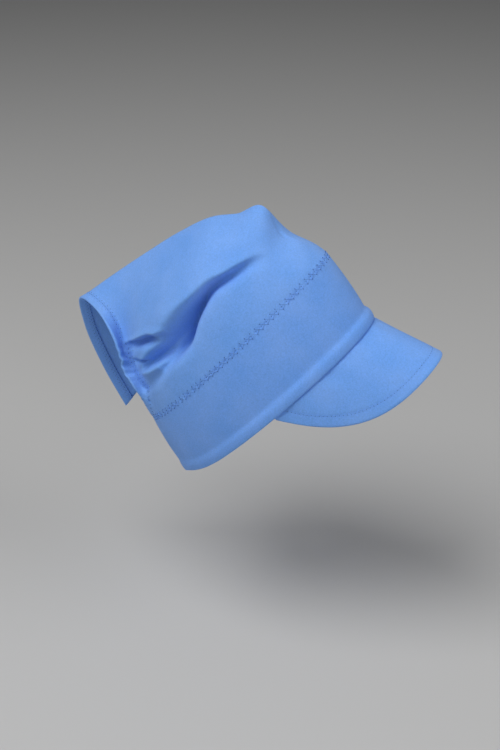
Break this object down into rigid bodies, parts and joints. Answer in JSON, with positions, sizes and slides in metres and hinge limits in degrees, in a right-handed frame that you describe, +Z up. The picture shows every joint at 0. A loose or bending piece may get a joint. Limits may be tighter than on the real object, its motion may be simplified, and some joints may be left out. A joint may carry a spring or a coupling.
{
  "type": "peaked headscarf",
  "caption": "Slouchy jersey head covering with a wide double headband, a crown with a soft corner, an open gathered tail at the back and a short stitched peak.",
  "frame": {"origin": "middle of the head opening, on the plane of the headband's lower edge", "axes": "+X to the wearer's left, +Y to the back, +Z up; the peak points to -Y and the open tail to +Y"},
  "size_m": [0.1548, 0.3074, 0.2351],
  "materials": {
    "crown_jersey": "matte knitted jersey, one layer",
    "band_jersey": "matte knitted jersey, two layers",
    "peak_jersey": "matte knitted jersey over a stiff insert"
  },
  "bodies": {
    "root": {"crown": "crown_jersey", "tail_hem": "crown_jersey", "headband": "band_jersey", "peak": "peak_jersey"}
  },
  "joints": []
}
